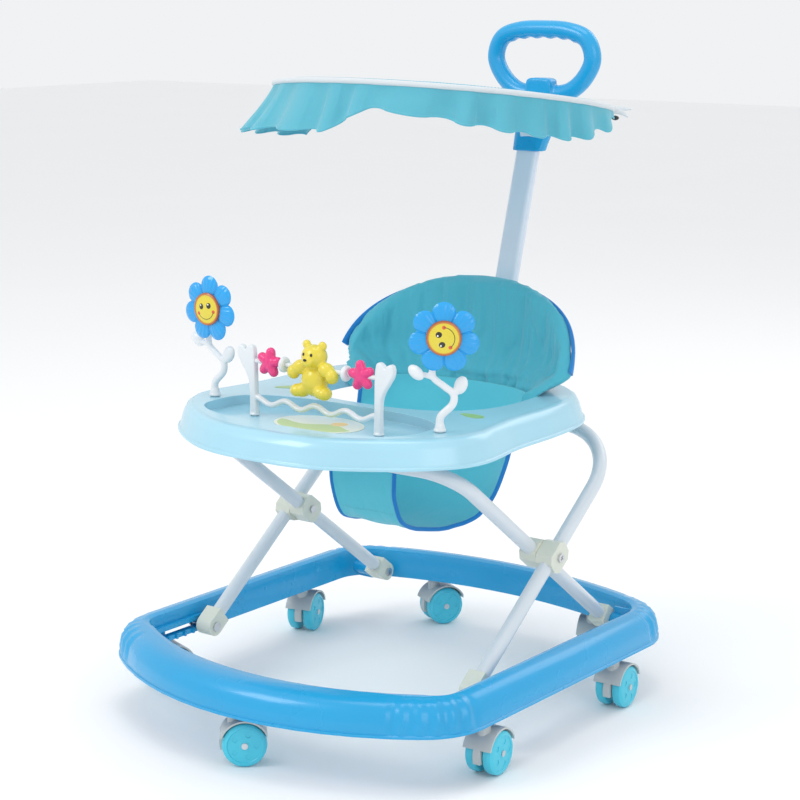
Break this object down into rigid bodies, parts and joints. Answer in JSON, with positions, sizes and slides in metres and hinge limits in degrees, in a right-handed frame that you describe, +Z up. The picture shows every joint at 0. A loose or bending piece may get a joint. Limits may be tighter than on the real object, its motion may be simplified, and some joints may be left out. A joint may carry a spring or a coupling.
{
  "type": "folding baby walker",
  "caption": "Folding baby walker with a flower-shaped play tray, hanging padded seat, X-frame legs, twin-wheel casters, push handle and tilting canopy.",
  "frame": {"origin": "on the floor under the middle of the bounding box", "axes": "+Z up, -Y towards the front where the child faces, +X towards the left-hand side of the seated child"},
  "size_m": [0.5865, 0.7141, 0.889],
  "materials": {
    "azure_plastic": "glossy moulded azure plastic",
    "sky_plastic": "glossy moulded pale blue plastic",
    "black_plastic": "matte black plastic",
    "printed_label": null,
    "caster_housing": "matte pale grey plastic",
    "wheel_plastic": "satin turquoise plastic",
    "steel": "zinc plated steel",
    "leg_paint": "pale grey powder coat, satin",
    "cream_plastic": "matte cream plastic",
    "seat_fabric": "teal woven polyester, padded and stitched",
    "canopy_fabric": "light teal woven polyester",
    "white_plastic": "glossy white plastic",
    "yellow_plastic": "glossy yellow plastic",
    "pink_plastic": "glossy pink plastic",
    "orange_plastic": "glossy orange and yellow plastic",
    "post_paint": "lavender white enamel, satin"
  },
  "bodies": {
    "base": {"base_ring": "azure_plastic", "caster_stems": "steel", "rear_foot_screws": "steel"},
    "inner_legs": {"inner_leg_frame": "leg_paint", "inner_leg_blocks": "cream_plastic", "crossing_screws": "steel"},
    "outer_legs": {"outer_leg_frame": "leg_paint", "outer_leg_blocks": "cream_plastic", "sliding_foot_pins": "steel"},
    "tray_assembly": {"tray": "sky_plastic", "tray_clips": "sky_plastic", "tray_latch": "black_plastic", "tray_sticker": "printed_label", "seat_back": "seat_fabric", "seat_sling": "seat_fabric", "toy_bar": "white_plastic", "toy_rod": "white_plastic", "toy_beads": "white_plastic", "flower_stalk_left": "white_plastic", "flower_stalk_right": "white_plastic", "post_socket": "azure_plastic", "push_post": "post_paint", "push_handle": "azure_plastic", "canopy_bracket": "white_plastic", "canopy_hinge_pin": "steel"},
    "bear": {"toy_bear": "yellow_plastic"},
    "star_left": {"toy_star_left": "pink_plastic"},
    "star_right": {"toy_star_right": "pink_plastic"},
    "left_flower": {"flower_left": "azure_plastic", "flower_face_left": "orange_plastic"},
    "right_flower": {"flower_right": "azure_plastic", "flower_face_right": "orange_plastic"},
    "button": {"post_button": "cream_plastic"},
    "canopy": {"canopy_hub": "white_plastic", "canopy_rim": "white_plastic", "canopy_top": "canopy_fabric", "canopy_frill": "canopy_fabric"},
    "caster_swivel_1": {"caster_fork_1": "caster_housing", "caster_axle_1": "steel"},
    "caster_roll_1": {"caster_wheels_1": "wheel_plastic"},
    "caster_swivel_2": {"caster_fork_2": "caster_housing", "caster_axle_2": "steel"},
    "caster_roll_2": {"caster_wheels_2": "wheel_plastic"},
    "caster_swivel_3": {"caster_fork_3": "caster_housing", "caster_axle_3": "steel"},
    "caster_roll_3": {"caster_wheels_3": "wheel_plastic"},
    "caster_swivel_4": {"caster_fork_4": "caster_housing", "caster_axle_4": "steel"},
    "caster_roll_4": {"caster_wheels_4": "wheel_plastic"},
    "caster_swivel_5": {"caster_fork_5": "caster_housing", "caster_axle_5": "steel"},
    "caster_roll_5": {"caster_wheels_5": "wheel_plastic"},
    "caster_swivel_6": {"caster_fork_6": "caster_housing", "caster_axle_6": "steel"},
    "caster_roll_6": {"caster_wheels_6": "wheel_plastic"},
    "caster_swivel_7": {"caster_fork_7": "caster_housing", "caster_axle_7": "steel"},
    "caster_roll_7": {"caster_wheels_7": "wheel_plastic"}
  },
  "joints": [
    {"name": "fold", "type": "hinge", "parent": "base", "child": "inner_legs", "pos_m": [0, 0.21875, 0.084], "axis": [1, 0, 0], "range_deg": [0, 27]},
    {"name": "leg_crossing", "type": "hinge", "parent": "inner_legs", "child": "outer_legs", "pos_m": [0, 0.04305, 0.2164], "axis": [1, 0, 0], "range_deg": [-54, 0]},
    {"name": "tray_level", "type": "hinge", "parent": "outer_legs", "child": "tray_assembly", "pos_m": [0, 0.21795, 0.3482], "axis": [1, 0, 0], "range_deg": [0, 27]},
    {"name": "caster_1_swivel", "type": "hinge", "parent": "base", "child": "caster_swivel_1", "pos_m": [0, -0.32925, 0.06], "axis": [0, 0, 1], "continuous": true},
    {"name": "caster_1_roll", "type": "hinge", "parent": "caster_swivel_1", "child": "caster_roll_1", "pos_m": [0.00892, -0.32122, 0.028], "axis": [-0.6691, 0.7431, 0], "continuous": true},
    {"name": "caster_2_swivel", "type": "hinge", "parent": "base", "child": "caster_swivel_2", "pos_m": [0.268, -0.17825, 0.06], "axis": [0, 0, 1], "continuous": true},
    {"name": "caster_2_roll", "type": "hinge", "parent": "caster_swivel_2", "child": "caster_roll_2", "pos_m": [0.26716, -0.16628, 0.028], "axis": [-0.9976, -0.0698, 0], "continuous": true},
    {"name": "caster_3_swivel", "type": "hinge", "parent": "base", "child": "caster_swivel_3", "pos_m": [0.268, 0.11975, 0.06], "axis": [0, 0, 1], "continuous": true},
    {"name": "caster_3_roll", "type": "hinge", "parent": "caster_swivel_3", "child": "caster_roll_3", "pos_m": [0.26716, 0.13172, 0.028], "axis": [-0.9976, -0.0698, 0], "continuous": true},
    {"name": "caster_4_swivel", "type": "hinge", "parent": "base", "child": "caster_swivel_4", "pos_m": [-0.268, 0.12375, 0.06], "axis": [0, 0, 1], "continuous": true},
    {"name": "caster_4_roll", "type": "hinge", "parent": "caster_swivel_4", "child": "caster_roll_4", "pos_m": [-0.27131, 0.13528, 0.028], "axis": [-0.9613, -0.2756, 0], "continuous": true},
    {"name": "caster_5_swivel", "type": "hinge", "parent": "base", "child": "caster_swivel_5", "pos_m": [-0.139, 0.2755, 0.06], "axis": [0, 0, 1], "continuous": true},
    {"name": "caster_5_roll", "type": "hinge", "parent": "caster_swivel_5", "child": "caster_roll_5", "pos_m": [-0.13318, 0.28599, 0.028], "axis": [-0.8746, 0.4848, 0], "continuous": true},
    {"name": "caster_6_swivel", "type": "hinge", "parent": "base", "child": "caster_swivel_6", "pos_m": [-0.268, -0.17825, 0.06], "axis": [0, 0, 1], "continuous": true},
    {"name": "caster_6_roll", "type": "hinge", "parent": "caster_swivel_6", "child": "caster_roll_6", "pos_m": [-0.2639, -0.16697, 0.028], "axis": [-0.9397, 0.342, 0], "continuous": true},
    {"name": "caster_7_swivel", "type": "hinge", "parent": "base", "child": "caster_swivel_7", "pos_m": [0.139, 0.2755, 0.06], "axis": [0, 0, 1], "continuous": true},
    {"name": "caster_7_roll", "type": "hinge", "parent": "caster_swivel_7", "child": "caster_roll_7", "pos_m": [0.1349, 0.28677, 0.028], "axis": [-0.9397, -0.342, 0], "continuous": true},
    {"name": "bear_spin", "type": "hinge", "parent": "tray_assembly", "child": "bear", "pos_m": [0, -0.16825, 0.469], "axis": [1, 0, 0], "continuous": true},
    {"name": "star_left_spin", "type": "hinge", "parent": "tray_assembly", "child": "star_left", "pos_m": [-0.074, -0.16825, 0.469], "axis": [1, 0, 0], "continuous": true},
    {"name": "star_right_spin", "type": "hinge", "parent": "tray_assembly", "child": "star_right", "pos_m": [0.074, -0.16825, 0.469], "axis": [1, 0, 0], "continuous": true},
    {"name": "left_flower_spin", "type": "hinge", "parent": "tray_assembly", "child": "left_flower", "pos_m": [-0.177, -0.16225, 0.528], "axis": [0, -1, 0], "continuous": true},
    {"name": "right_flower_spin", "type": "hinge", "parent": "tray_assembly", "child": "right_flower", "pos_m": [0.19118, -0.15791, 0.528], "axis": [0.5592, -0.829, 0], "continuous": true},
    {"name": "canopy_tilt", "type": "hinge", "parent": "tray_assembly", "child": "canopy", "pos_m": [0, 0.30975, 0.762], "axis": [1, 0, 0], "range_deg": [-50, 12]},
    {"name": "button_press", "type": "slide", "parent": "tray_assembly", "child": "button", "axis": [0, -0.9613, 0.2756], "range_m": [0, 0.0035], "stiffness_N_per_m": 400}
  ],
  "couplings": [
    {"joint": "leg_crossing", "follows": "fold", "ratio": -2},
    {"joint": "tray_level", "follows": "fold", "ratio": 1}
  ]
}
